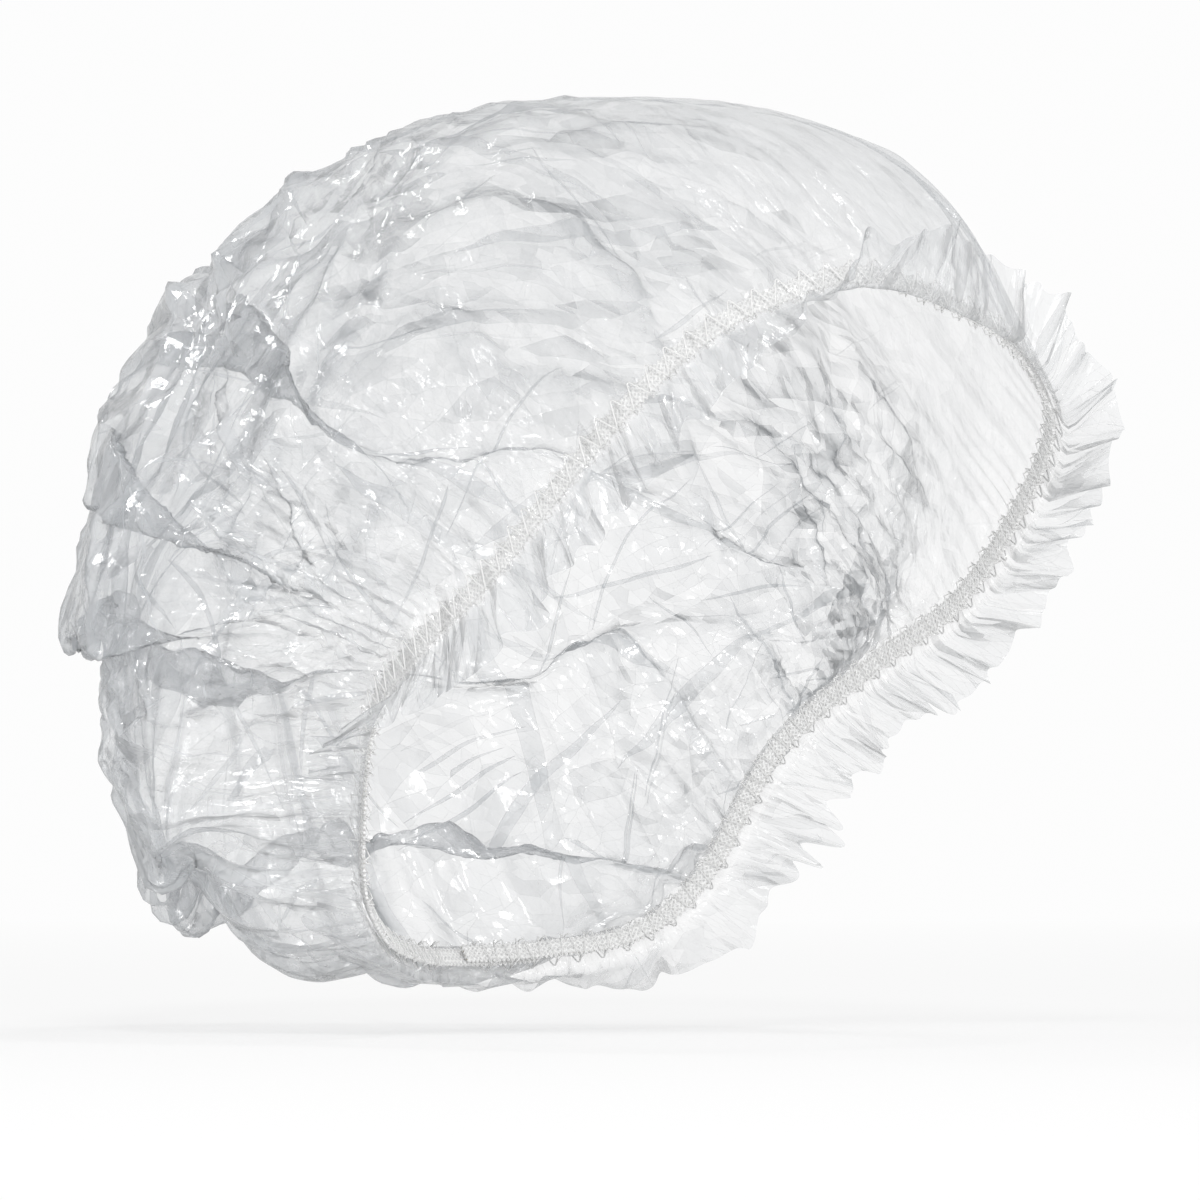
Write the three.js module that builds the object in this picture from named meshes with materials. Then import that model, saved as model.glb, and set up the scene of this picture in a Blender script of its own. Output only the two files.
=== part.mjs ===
import * as THREE from 'three';

// Disposable shower cap in its worn shape, in millimetres, +Z up, forehead towards -Y.
// The origin is the middle of the elastic opening.
// One round sheet of film is gathered on a narrow braided elastic by a zigzag seam.
// The film's free frill turns up over the forehead and lies forward at the temples.

// Film sheet. The real film is far thinner: this wall stands for it as a solid.
const filmWall = 0.8;
const frillLength = 18;
const frillRoll = 2;
const discRadius = 270;
const reachBehind = 176;
const reachBeside = 79;
const foldDepth = 8.5;
const lobeDepth = 7;
const crumpleCell = 38;
const crumpleDepth = 3.4;
const crumpleStart = 12;
const fanBack = 18;
const fanUp = 4;
const poleBack = 105;
const poleUp = 78;

// Path of the elastic on the head.
const rimHalfWidth = 75;
const rimHalfLength = 84;
const rimHalfHeight = 80;
const rimBackShift = 3;
const seatHalfWidth = 76;
const seatHalfLength = 98;
const seatHalfHeight = 115;

// Elastic, its rubber strands and the seam threads.
const coreCount = 4;
const coreDiameter = 0.5;
const corePitch = 1.15;
const coreClearance = 0.15;
const yarnCover = 0.24;
const selvedgeWidth = 0.2;
const elasticEdgeRound = 0.4;
const layerClearance = 0.3;
const threadThickness = 0.4;
const stitchPitch = 6;
const loopRiseShare = 0.17;
const seamOverhang = 0.7;
const filmOverhang = 1.6;
const seamGap = 9;

// Mesh counts.
const stationCount = 60;
const fullRings = 3;
const lapStations = 2;
const threadSides = 3;
const coreSides = 4;

// Ear side to ear side, front to back and up, each as a share of its half size,
// from the nape round by the far side to the forehead and back by the seen side.
const rimShares = [
  [0, 1.04, -1.01], [0.27, 0.99, -1], [0.57, 0.86, -0.95], [0.75, 0.73, -0.77], [0.88, 0.54, -0.38],
  [0.97, 0.22, -0.12], [0.99, -0.13, 0.08], [0.92, -0.47, 0.38], [0.77, -0.73, 0.61], [0.53, -0.89, 0.76],
  [0.27, -0.98, 0.89], [0, -1, 0.98], [-0.27, -0.98, 1.05], [-0.51, -0.9, 1.01], [-0.76, -0.73, 0.86],
  [-0.92, -0.46, 0.56], [-1, -0.08, 0.16], [-0.99, 0.23, -0.05], [-0.87, 0.56, -0.28], [-0.73, 0.75, -0.73],
  [-0.57, 0.84, -0.92], [-0.27, 0.99, -1],
];

// Reach of the film in the middle plane, one every 15 degrees from straight back over the top.
const reachShares = [
  0.945, 0.92, 0.865, 0.82, 0.79, 0.74, 0.712, 0.717, 0.725, 0.712, 0.68, 0.64,
  0.61, 0.6, 0.6, 0.6, 0.6, 0.62, 0.66, 0.72, 0.79, 0.865, 0.93, 0.955,
];

// Place of each ring of points on the way from the rim to the pole, and where the film has swollen.
const ringShares = [0.06, 0.15, 0.26, 0.37, 0.48, 0.59, 0.7, 0.8, 0.9];
const swellShare = 0.17;
const frontFullness = 2.2;
const rearFullness = 2.6;
const widenShare = 0.33;
const rearTurns = 0.4;

// Billows: where each overhanging lower edge starts beside the ear and ends behind, in turns.
const lobeSideShares = [0.02, -0.02, -0.15];
const lobeBackShares = [0.045, -0.005, -0.07];
const lobeWidthShare = 0.05;
const lobeSharpness = 4;
const wanderShares = [0.004, 0.012];
const wanderWaves = 9;
const wanderLobeTurn = 2.1;
const wanderSideTurn = 1.3;
const sideSharpness = 4;

// Main folds: how many waves go round, how strong each is, where it starts and how it drifts.
const foldCounts = [5, 9, 13];
const foldShares = [0.4, 0.35, 0.25];
const foldPhaseShares = [0.1, 0.62, 0.35];
const foldDriftShare = 0.25;
const looseMiddleShare = 0.62;
const looseBackShare = 1.1;
const looseTopShare = -0.5;
const looseLeastShare = 0.1;

// Crumples lie on a lattice of triangles on the flat film, over numbers scattered by a sine.
const tightCrumpleShare = 0.12;
const scatterSteps = [127.1, 311.7];
const scatterSpread = 43758.5453;

// Frill: how far it is turned up, 0 lying forward and 1 folded back, round the rim from the nape.
const turnShares = [
  0.75, 0.7, 0.5, 0.35, 0.3, 0.4, 0.5, 0.62, 0.75, 0.86,
  0.88, 0.7, 0.3, 0.12, 0.1, 0.12, 0.35, 0.7, 0.8, 0.8,
];
const fullTurnDegrees = 165;
const frillWaveShare = 0.14;
const frillWaveCount = 15;

const clamp = THREE.MathUtils.clamp;
const lerp = THREE.MathUtils.lerp;
const fanCentre = new THREE.Vector3(0, fanBack, fanUp);
const polePoint = new THREE.Vector3(0, poleBack, poleUp);
const poleDirection = polePoint.clone().sub(fanCentre).normalize();
const seatCentre = new THREE.Vector3(0, rimBackShift, rimBackShift);
const boreRadius = coreDiameter / 2 + coreClearance / Math.cos(Math.PI / coreSides);
const elasticWidth = coreCount * corePitch + 2 * selvedgeWidth;
const elasticThickness = 2 * (boreRadius + yarnCover);
const elasticLift = elasticThickness + layerClearance;

// Smooth value from a closed table at a place given in turns.
function roundTable(table, turns) {
  const place = (turns - Math.floor(turns)) * table.length;
  const first = Math.floor(place);
  const rest = place - first;
  const pick = (step) => table[(first + step + table.length) % table.length];
  const slopeIn = (pick(1) - pick(-1)) / 2;
  const slopeOut = (pick(2) - pick(0)) / 2;
  const jump = pick(1) - pick(0);
  const square = 3 * jump - 2 * slopeIn - slopeOut;
  const cube = slopeIn + slopeOut - 2 * jump;
  return pick(0) + rest * (slopeIn + rest * (square + rest * cube));
}

// Rim stations: a point on the head, the way along, outwards and towards the crown.
const rimCurve = new THREE.CatmullRomCurve3(
  rimShares.map(([across, along, up]) => new THREE.Vector3(
    across * rimHalfWidth,
    along * rimHalfLength + rimBackShift,
    up * rimHalfHeight,
  )),
  true,
  'catmullrom',
);

function seatNormal(point) {
  const offset = point.clone().sub(seatCentre);
  const normal = new THREE.Vector3(
    offset.x / seatHalfWidth ** 2,
    offset.y / seatHalfLength ** 2,
    offset.z / seatHalfHeight ** 2,
  );
  return normal.normalize();
}

// The elastic climbs over its own first end at the nape, and the film climbs with it.
function stripLift(index) {
  const climbed = clamp((index - (stationCount - lapStations)) / lapStations, 0, 1);
  return climbed * elasticLift;
}

function filmLift(index) {
  return index <= lapStations ? elasticLift : stripLift(index);
}

function makeStation(index) {
  const turns = (index / stationCount) % 1;
  const point = rimCurve.getPoint(turns);
  const along = rimCurve.getTangent(turns);
  const out = seatNormal(point);
  out.addScaledVector(along, -out.dot(along)).normalize();
  const crown = new THREE.Vector3().crossVectors(along, out);
  return { index, turns, point, along, out, crown };
}

const stations = Array.from({ length: stationCount }, (unused, index) => makeStation(index));

// Distance round the rim to each station, and to the first one again.
function lengthsRound() {
  const lengths = [0];
  stations.forEach((station, index) => {
    const next = stations[(index + 1) % stationCount];
    lengths.push(lengths[index] + station.point.distanceTo(next.point));
  });
  return lengths;
}

const rimLengths = lengthsRound();

function stationPoint(station, crownward, outward) {
  return station.point.clone()
    .addScaledVector(station.crown, crownward)
    .addScaledVector(station.out, outward);
}

function bodyFrom(positions, faces) {
  const geometry = new THREE.BufferGeometry();
  geometry.setAttribute('position', new THREE.Float32BufferAttribute(positions, 3));
  geometry.setIndex(faces);
  return geometry;
}

function coordinates(points) {
  return points.flatMap((point) => [point.x, point.y, point.z]);
}

// Closed strand through rings of points, with a flat fan over each end.
function strandBody(rings) {
  const faces = [];
  const size = rings[0].length;
  for (let band = 0; band < rings.length - 1; band += 1) {
    for (let side = 0; side < size; side += 1) {
      const here = band * size + side;
      const next = band * size + (side + 1) % size;
      faces.push(here, here + size, next);
      faces.push(next, here + size, next + size);
    }
  }
  const last = (rings.length - 1) * size;
  for (let side = 1; side < size - 1; side += 1) {
    faces.push(0, side, side + 1);
    faces.push(last, last + side + 1, last + side);
  }
  return bodyFrom(coordinates(rings.flat()), faces);
}

function namedMesh(name, geometry, colour, roughness) {
  geometry.computeVertexNormals();
  const material = new THREE.MeshStandardMaterial({ color: colour, roughness, metalness: 0 });
  const mesh = new THREE.Mesh(geometry, material);
  mesh.name = name;
  return mesh;
}

// Lobes hang over each other like loose cuffs: swollen above each edge and drawn in below it.
function lobeSwell(turns, backness, across) {
  const side = clamp(across * sideSharpness, -1, 1);
  const reach = wanderShares[0] + wanderShares[1] * (1 + side) / 2;
  let swell = 0;
  lobeBackShares.forEach((backShare, lobe) => {
    const edge = lerp(lobeSideShares[lobe], backShare, backness);
    const phase = wanderWaves * backness + wanderLobeTurn * lobe + wanderSideTurn * side;
    const offset = (turns - edge - reach * Math.sin(phase) * backness) / lobeWidthShare;
    const fade = Math.exp(-Math.abs(offset));
    swell += clamp(offset * lobeSharpness, -1, 1) * fade;
  });
  return swell * lobeDepth * backness;
}

// Point of the full film form in one direction from the fan centre. Its creases and
// sections fan out round the line through both ears, where the film is drawn together.
function formPoint(direction, extra = 0) {
  const flat = Math.hypot(direction.y, direction.z);
  const turns = Math.atan2(direction.z, direction.y) / (2 * Math.PI);
  const reach = reachBehind * roundTable(reachShares, turns);
  const rear = (1 + Math.cos(Math.PI * clamp(Math.abs(turns) / rearTurns, 0, 1))) / 2;
  const power = lerp(frontFullness, rearFullness, rear);
  const fullness = (Math.abs(direction.x) / reachBeside) ** power + (flat / reach) ** power;
  let distance = fullness ** (-1 / power);
  const backness = clamp(flat * distance / reach, 0, 1);
  distance += lobeSwell(turns, backness, direction.x) + extra;
  const point = direction.clone().multiplyScalar(distance);
  point.x *= 1 + widenShare * rear * 4 * backness * (1 - backness);
  return point.add(fanCentre);
}

// The film over the forehead and crown stays tight, and the film behind hangs loose.
function looseness(direction) {
  const freedom = looseMiddleShare + looseBackShare * direction.y + looseTopShare * direction.z;
  return clamp(freedom, looseLeastShare, 1);
}

// Main folds run from the rim to the pole.
function foldHeight(station, share, direction) {
  const wave = foldCounts.reduce((sum, count, item) => {
    const phase = count * station.turns + foldPhaseShares[item] + share * item * foldDriftShare;
    return sum + foldShares[item] * Math.sin(2 * Math.PI * phase);
  }, 0);
  return foldDepth * wave * looseness(direction) * Math.sin(Math.PI * Math.sqrt(share));
}

function scatter(across, along) {
  const value = Math.sin(across * scatterSteps[0] + along * scatterSteps[1]) * scatterSpread;
  return 2 * (value - Math.floor(value)) - 1;
}

// Height of flat facets between scattered corners, at a place on the flat film.
function facetHeight(x, y) {
  const skew = (x + y) * (Math.sqrt(3) - 1) / 2;
  const first = Math.floor(x + skew);
  const second = Math.floor(y + skew);
  const restFirst = x + skew - first;
  const restSecond = y + skew - second;
  const least = Math.min(restFirst, restSecond);
  const middle = restFirst >= restSecond ? scatter(first + 1, second) : scatter(first, second + 1);
  return (1 - Math.max(restFirst, restSecond)) * scatter(first, second)
    + Math.abs(restFirst - restSecond) * middle
    + least * scatter(first + 1, second + 1);
}

function crumpleHeight(station, share, direction) {
  const radius = discRadius - frillLength;
  const angle = 2 * Math.PI * rimLengths[station.index] / rimLengths[stationCount];
  const reach = radius * (1 - share) / crumpleCell;
  const start = THREE.MathUtils.smoothstep(share * radius, 0, crumpleStart);
  const amount = lerp(tightCrumpleShare, 1, looseness(direction)) * start;
  return crumpleDepth * amount * facetHeight(reach * Math.cos(angle), reach * Math.sin(angle));
}

function swollenPoint(station, share) {
  const start = stationPoint(station, elasticWidth / 2 + filmOverhang, elasticLift + filmWall);
  const fromCentre = start.clone().sub(fanCentre);
  const direction = fromCentre.clone().normalize();
  const angle = direction.angleTo(poleDirection);
  const turned = direction.multiplyScalar(Math.sin((1 - share) * angle) / Math.sin(angle))
    .addScaledVector(poleDirection, Math.sin(share * angle) / Math.sin(angle));
  const near = turned.clone().multiplyScalar(fromCentre.length()).add(fanCentre);
  const relief = foldHeight(station, share, turned) + crumpleHeight(station, share, turned);
  const far = formPoint(turned, relief);
  const swollen = 1 - (1 - clamp(share / swellShare, 0, 1)) ** 2;
  return near.lerp(far, swollen);
}

// Rim section of the film, from the frill's free edge to the crown side of the elastic,
// as places crownward and outward. Its skin face clears the elastic.
function rimSection(station) {
  const turned = THREE.MathUtils.degToRad(fullTurnDegrees * roundTable(turnShares, station.turns));
  const seat = elasticLift + filmLift(station.index);
  const root = [-(elasticWidth / 2 + filmOverhang), seat];
  const bend = [root[0] - frillRoll * Math.cos(turned / 2), seat + frillRoll * Math.sin(turned / 2)];
  const wave = 1 + frillWaveShare * Math.sin(2 * Math.PI * frillWaveCount * station.turns);
  const rest = (frillLength - frillRoll) * wave;
  const edge = [bend[0] - rest * Math.cos(turned), bend[1] + rest * Math.sin(turned)];
  return [edge, bend, root, [-root[0], seat]];
}

// Same section moved out by the wall, with mitred corners.
function offsetSection(section) {
  const normals = section.slice(1).map((point, item) => {
    const across = point[0] - section[item][0];
    const outward = point[1] - section[item][1];
    const length = Math.hypot(across, outward);
    return [-outward / length, across / length];
  });
  return section.map((point, item) => {
    const before = normals[Math.max(item - 1, 0)];
    const after = normals[Math.min(item, normals.length - 1)];
    const stretch = filmWall / (1 + before[0] * after[0] + before[1] * after[1]);
    return [point[0] + (before[0] + after[0]) * stretch, point[1] + (before[1] + after[1]) * stretch];
  });
}

function crossNormal(rows, row, column) {
  const around = rows[row].length;
  const up = rows[Math.min(row + 1, rows.length - 1)][column].clone().sub(rows[row - 1][column]);
  const side = rows[row][(column + 1) % around].clone().sub(rows[row][(column + around - 1) % around]);
  return up.cross(side).normalize();
}

// The film is one closed shell: outer rows from the frill's edge to the pole, then the inner
// rows, joined at the frill's edge. Rings nearer the pole keep every second point.
function filmGeometry() {
  const inner = stations.map((station) => rimSection(station));
  const outer = inner.map((section) => offsetSection(section));
  const place = (sections, row) => (
    stations.map((station, item) => stationPoint(station, ...sections[item][row]))
  );
  const outerRows = inner[0].map((unused, row) => place(outer, row));
  const innerRows = inner[0].map((unused, row) => place(inner, row));
  const rimRows = innerRows.length;
  ringShares.forEach((share) => outerRows.push(stations.map((station) => swollenPoint(station, share))));
  for (let row = rimRows; row < outerRows.length; row += 1) {
    innerRows.push(outerRows[row].map((point, column) => (
      point.clone().addScaledVector(crossNormal(outerRows, row, column), -filmWall)
    )));
  }
  const thinned = (rows) => rows.map((points, row) => (
    row < rimRows + fullRings ? points : points.filter((unused, column) => column % 2 === 0)
  ));
  const top = formPoint(poleDirection);
  const under = top.clone().addScaledVector(poleDirection, -filmWall);
  return shellGeometry(thinned(outerRows), thinned(innerRows), top, under);
}

// Triangles between two rows of point numbers, the upper one as long or half as long.
function bandFaces(low, high) {
  const faces = [];
  const step = low.length / high.length;
  high.forEach((here, item) => {
    const next = high[(item + 1) % high.length];
    const first = low[item * step];
    const middle = low[(item + 1) * step - 1];
    const last = low[(item + 1) * step % low.length];
    if (step > 1) {
      faces.push([first, here, middle]);
    }
    faces.push([middle, here, next], [middle, next, last]);
  });
  return faces;
}

function shellGeometry(outerRows, innerRows, top, under) {
  const points = [];
  const numbered = (rows) => rows.map((row) => row.map((point) => points.push(point) - 1));
  const outer = numbered(outerRows);
  const inner = numbered(innerRows);
  const topNumber = points.push(top) - 1;
  const underNumber = points.push(under) - 1;
  const outward = [];
  const inward = bandFaces(outer[0], inner[0]);
  for (let row = 0; row < outer.length - 1; row += 1) {
    outward.push(...bandFaces(outer[row], outer[row + 1]));
    inward.push(...bandFaces(inner[row], inner[row + 1]));
  }
  const fan = (ring, tip) => ring.map((here, item) => [here, tip, ring[(item + 1) % ring.length]]);
  outward.push(...fan(outer[outer.length - 1], topNumber));
  inward.push(...fan(inner[inner.length - 1], underNumber));
  const turned = inward.map(([a, b, c]) => [a, c, b]);
  return bodyFrom(coordinates(points), [...outward, ...turned].flat());
}

// Elastic braid: a flat strip with bevelled edges and one bore for each rubber strand.
function elasticStations() {
  return Array.from({ length: stationCount + lapStations + 1 }, (unused, index) => (
    { station: stations[index % stationCount], lift: stripLift(index) }
  ));
}

function coreOffset(core) {
  return (core - (coreCount - 1) / 2) * corePitch;
}

function strandOutline(core, radius) {
  return Array.from({ length: coreSides }, (unused, corner) => {
    const angle = 2 * Math.PI * corner / coreSides;
    const across = coreOffset(core) + radius * Math.cos(angle);
    return [across, elasticThickness / 2 + radius * Math.sin(angle)];
  });
}

function braidOutline() {
  const half = elasticWidth / 2;
  const flat = half - elasticEdgeRound;
  const shoulder = elasticThickness - elasticEdgeRound;
  return [
    [-flat, 0], [flat, 0], [half, elasticEdgeRound], [half, shoulder],
    [flat, elasticThickness], [-flat, elasticThickness], [-half, shoulder], [-half, elasticEdgeRound],
  ];
}

function braidGeometry() {
  const bores = Array.from({ length: coreCount }, (unused, core) => strandOutline(core, boreRadius));
  const loops = [braidOutline(), ...bores];
  const toVectors = (loop) => loop.map(([across, outward]) => new THREE.Vector2(across, outward));
  const vectors = loops.map(toVectors);
  const capFaces = THREE.ShapeUtils.triangulateShape(vectors[0], vectors.slice(1));
  const section = loops.flat();
  const places = elasticStations();
  const faces = [];
  const points = places.flatMap(({ station, lift }) => (
    section.map(([across, outward]) => stationPoint(station, across, outward + lift))
  ));
  for (let band = 0; band < places.length - 1; band += 1) {
    let first = 0;
    loops.forEach((loop, item) => {
      loop.forEach((unused, side) => {
        const a = band * section.length + first + side;
        const b = band * section.length + first + (side + 1) % loop.length;
        const corners = item === 0 ? [a, b] : [b, a];
        const [start, end] = corners;
        faces.push(start, start + section.length, end);
        faces.push(end, start + section.length, end + section.length);
      });
      first += loop.length;
    });
  }
  const last = (places.length - 1) * section.length;
  capFaces.forEach(([a, b, c]) => {
    faces.push(a, b, c);
    faces.push(last + a, last + c, last + b);
  });
  return bodyFrom(coordinates(points), faces);
}

function coreGeometry(core) {
  const section = strandOutline(core, coreDiameter / 2);
  const rings = elasticStations().map(({ station, lift }) => (
    section.map(([across, outward]) => stationPoint(station, across, outward + lift))
  ));
  return strandBody(rings);
}

// Seam. Places between stations are blended straight, as the film and elastic are. A place
// on the film climbs with it at the nape, and a place under the elastic doesn't.
function seamPoint(length, crownward, outward, onFilm) {
  let index = 0;
  while (index < stationCount - 1 && rimLengths[index + 1] < length) {
    index += 1;
  }
  const rest = (length - rimLengths[index]) / (rimLengths[index + 1] - rimLengths[index]);
  const next = (index + 1) % stationCount;
  const climb = (station) => (onFilm ? filmLift(station) : 0);
  const start = stationPoint(stations[index], crownward, outward + climb(index));
  const end = stationPoint(stations[next], crownward, outward + climb(next));
  return start.lerp(end, rest);
}

function alongWay(vector, way, amount) {
  return vector.clone().addScaledVector(way, amount);
}

// A thread keeps one section on every leg of its path and is mitred at each bend.
function threadGeometry(path) {
  const ways = path.slice(1).map((point, item) => point.clone().sub(path[item]).normalize());
  const side = new THREE.Vector3().crossVectors(ways[0], seatNormal(path[0])).normalize();
  const lift = new THREE.Vector3().crossVectors(side, ways[0]);
  let corners = Array.from({ length: threadSides }, (unused, corner) => {
    const angle = 2 * Math.PI * corner / threadSides;
    return side.clone().multiplyScalar(Math.cos(angle)).addScaledVector(lift, Math.sin(angle))
      .multiplyScalar(threadThickness / 2);
  });
  const rings = path.map((point, item) => {
    const wayIn = ways[Math.max(item - 1, 0)];
    const wayOut = ways[Math.min(item, ways.length - 1)];
    const bend = wayIn.clone().add(wayOut).normalize();
    const mitred = corners.map((corner) => alongWay(corner, wayIn, -corner.dot(bend) / wayIn.dot(bend)));
    corners = mitred.map((corner) => alongWay(corner, wayOut, -corner.dot(wayOut)));
    return mitred.map((corner) => corner.clone().add(point));
  });
  return strandBody(rings);
}

function crossings() {
  const count = Math.floor((rimLengths[stationCount] - seamGap) / (stitchPitch / 2));
  return Array.from({ length: count }, (unused, item) => (
    { length: seamGap / 2 + item * stitchPitch / 2, side: item % 2 === 0 ? 1 : -1 }
  ));
}

function needleGeometry() {
  const outward = elasticLift + filmWall + layerClearance + threadThickness / 2;
  const reach = elasticWidth / 2 + seamOverhang;
  return threadGeometry(
    crossings().map(({ length, side }) => seamPoint(length, side * reach, outward, true)),
  );
}

// The looper thread crosses under the elastic and rises past each edge to meet the film.
function looperGeometry() {
  const under = -(layerClearance + threadThickness / 2);
  const locked = elasticLift - layerClearance - threadThickness / 2;
  const edge = elasticWidth / 2 + layerClearance + threadThickness / 2;
  const reach = elasticWidth / 2 + seamOverhang;
  const rise = stitchPitch * loopRiseShare;
  return threadGeometry(crossings().flatMap(({ length, side }) => [
    seamPoint(length - rise, side * edge, under, false),
    seamPoint(length, side * reach, locked, true),
    seamPoint(length + rise, side * edge, under, false),
  ]));
}

const cap = new THREE.Group();
cap.add(namedMesh('film_sheet', filmGeometry(), 0xe9ecee, 0.2));
cap.add(namedMesh('elastic_braid', braidGeometry(), 0xf4f3f0, 0.85));
for (let core = 0; core < coreCount; core += 1) {
  cap.add(namedMesh(`rubber_core_${core + 1}`, coreGeometry(core), 0xe8dfc8, 0.6));
}
cap.add(namedMesh('needle_thread', needleGeometry(), 0xffffff, 0.7));
cap.add(namedMesh('looper_thread', looperGeometry(), 0xffffff, 0.7));

export default cap;
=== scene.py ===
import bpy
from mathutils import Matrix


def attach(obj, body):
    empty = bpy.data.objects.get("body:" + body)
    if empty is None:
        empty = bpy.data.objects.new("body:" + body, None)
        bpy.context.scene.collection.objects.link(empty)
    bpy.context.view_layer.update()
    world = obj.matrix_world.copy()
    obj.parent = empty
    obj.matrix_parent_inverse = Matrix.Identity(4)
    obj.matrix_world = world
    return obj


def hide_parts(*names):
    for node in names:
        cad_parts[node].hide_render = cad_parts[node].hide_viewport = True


bl_info = {
    "name": "Shower cap",
    "version": (1, 0, 0),
    "blender": (4, 5, 0),
    "location": "View3D > Sidebar > Cap",
    "description": "Disposable film shower cap in its worn shape",
    "category": "Object",
}

import math
from functools import reduce
from operator import add

import bpy
import numpy as np
from bpy.props import FloatProperty, FloatVectorProperty, IntProperty, PointerProperty
from mathutils import Vector

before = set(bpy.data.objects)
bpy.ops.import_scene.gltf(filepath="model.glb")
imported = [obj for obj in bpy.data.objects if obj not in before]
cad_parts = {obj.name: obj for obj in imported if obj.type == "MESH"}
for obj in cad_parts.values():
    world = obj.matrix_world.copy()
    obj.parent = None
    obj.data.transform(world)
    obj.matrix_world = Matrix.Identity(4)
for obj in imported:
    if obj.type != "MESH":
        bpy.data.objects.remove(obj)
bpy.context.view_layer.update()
MM = 0.001
TAU = 2 * math.pi

# Shapes are worked out in millimetres, and places round a closed line in turns. Near is the side towards
# the camera, at -X, and far the other.

# Rim: the closed line of the elastic from its lap at the back, in shares of its half sizes, and the half
# sizes of the seat that it lies on. Both are shifted back, and the seat also up.
RIM_HALF = np.array([75.0, 84.0, 80.0])
RIM_SHIFT = 3.0
SEAT_HALF = np.array([76.0, 98.0, 115.0])
RIM_SHARES = np.array([
    [0, 1.04, -1.01], [0.27, 0.99, -1], [0.57, 0.86, -0.95], [0.75, 0.73, -0.77], [0.88, 0.54, -0.38],
    [0.97, 0.22, -0.12], [0.99, -0.13, 0.08], [0.92, -0.47, 0.38], [0.77, -0.73, 0.61], [0.53, -0.89, 0.76],
    [0.27, -0.98, 0.89], [0, -1, 0.98], [-0.27, -0.98, 1.05], [-0.51, -0.9, 1.01], [-0.76, -0.73, 0.86],
    [-0.92, -0.46, 0.56], [-1, -0.08, 0.16], [-0.99, 0.23, -0.05], [-0.87, 0.56, -0.28], [-0.73, 0.75, -0.73],
    [-0.57, 0.84, -0.92], [-0.27, 0.99, -1],
])

# Full form of the film: its reach behind and beside the middle of the fan of folds, and in the middle plane
# in shares of the first, from straight back over the top to the front and under.
REACH_BEHIND = 176.0
REACH_BESIDE = 79.0
REACH_SHARES = np.array([
    0.945, 0.92, 0.865, 0.82, 0.79, 0.74, 0.712, 0.717, 0.725, 0.712, 0.68, 0.64,
    0.61, 0.6, 0.6, 0.6, 0.6, 0.62, 0.66, 0.72, 0.79, 0.865, 0.93, 0.955,
])
FAN_CENTRE = np.array([0.0, 18.0, 4.0])
POLE = np.array([0.0, 105.0, 78.0])
FORM_POWER = 2.2
REAR_POWER = 0.4
REAR_WIDENING = 0.33
# The film has reached the full form at this share of its way from the seam to the pole.
FULL_AT = 0.17

# Billows: their lower edges in turns round the fan, beside and behind, and their rise behind on the near
# side.
LOBE_SIDE = (0.02, -0.02, -0.15)
LOBE_BACK = (0.045, -0.005, -0.07)
NEAR_RISE = (0.03, 0.0, 0.0)
# Across an edge, in turns: its step, the fading of the bulge, the fold that hangs over, how far it hangs
# and how far it wanders.
LOBE_STEP = 0.012
LOBE_FADE = 0.05
LOBE_FOLD = 0.011
HANG_NEAR = 0.026
HANG_FAR = 0.010
WANDER_NEAR = 0.004
WANDER_FAR = 0.016
# How far the billows stand out on each side, in shares of their depth.
SWELL_NEAR = 1.4
SWELL_FAR = 1.0
# The film hangs over from this far beyond the seam, and fully that much further on.
HANG_FROM = 14.0
HANG_OVER = 40.0
# Looseness: its middle value, how much it grows to the back and falls to the top, and its least.
LOOSE_MIDDLE = 0.62
LOOSE_BEHIND = 1.1
TIGHT_ABOVE = 0.5
LOOSE_LEAST = 0.1
# Main folds: how many go round, their strength and where they start.
FOLDS = ((5, 0.4, 0.1), (9, 0.35, 0.62), (13, 0.25, 0.35))

# Pleats: how many go round, where they rise and fade from the seam, and how deep they are.
PLEATS = (
    (29, 20.0, 160.0, 4.2),
    (61, 7.0, 105.0, 3.3),
    (127, 2.0, 50.0, 1.7),
    (251, 0.5, 14.0, 0.45),
)
# Crumples: size of a facet and height of its corners.
CRUMPLES = ((38.0, 3.4), (21.0, 2.3), (11.0, 1.6), (5.5, 0.75))
# Tension folds beside the fan's middle: how many would go round it, how deep they are, where they lie and
# how far they spread, in turns.
TENSION = ((31, 2.1), (67, 1.2), (139, 0.6))
TENSION_TURN = -0.06
TENSION_WIDTH = 0.16
# Relief fades out near the pole and the seam, over these lengths of film.
POLE_CALM = 16.0
PLEAT_POLE_CALM = 70.0
SEAM_CALM = 10.0
CRUMPLE_CALM = 12.0
CRUMPLE_SPREAD = 90.0
# Straight strips of film folded over itself: how many, their lengths and widths, how far out on the disc
# they lie in shares of its radius, how far they lean, the width of their edges and their two heights.
STRIPS = 46
STRIP_LENGTHS = (35.0, 120.0)
STRIP_WIDTHS = (3.0, 8.0)
STRIP_PLACES = (0.12, 0.85)
STRIP_LEAN = 0.55
STRIP_EDGE = 1.2
STRIP_HEIGHTS = (0.4, 1.5)

# Waves round the rim: how many go round, how deep they are and a seed for their spacing.
FRILL_SWAYS = ((23, 0.7, 5), (57, 0.6, 6))
FRILL_RUFFLES = ((29, 3.0, 11), (61, 1.9, 13), (127, 0.5, 17))
FRILL_DRIFTS = ((41, 1.6, 23), (97, 0.5, 29))
FRILL_EDGES = ((31, 1.0, 31), (101, 0.2, 37))
SEAM_GATHERS = ((127, 0.3, 41), (251, 0.25, 43))
# Crumples of the frill: size of a facet, height of its corners and seed.
FRILL_CRUMPLES = ((26.0, 2.2, 61), (11.0, 0.6, 62))
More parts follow.
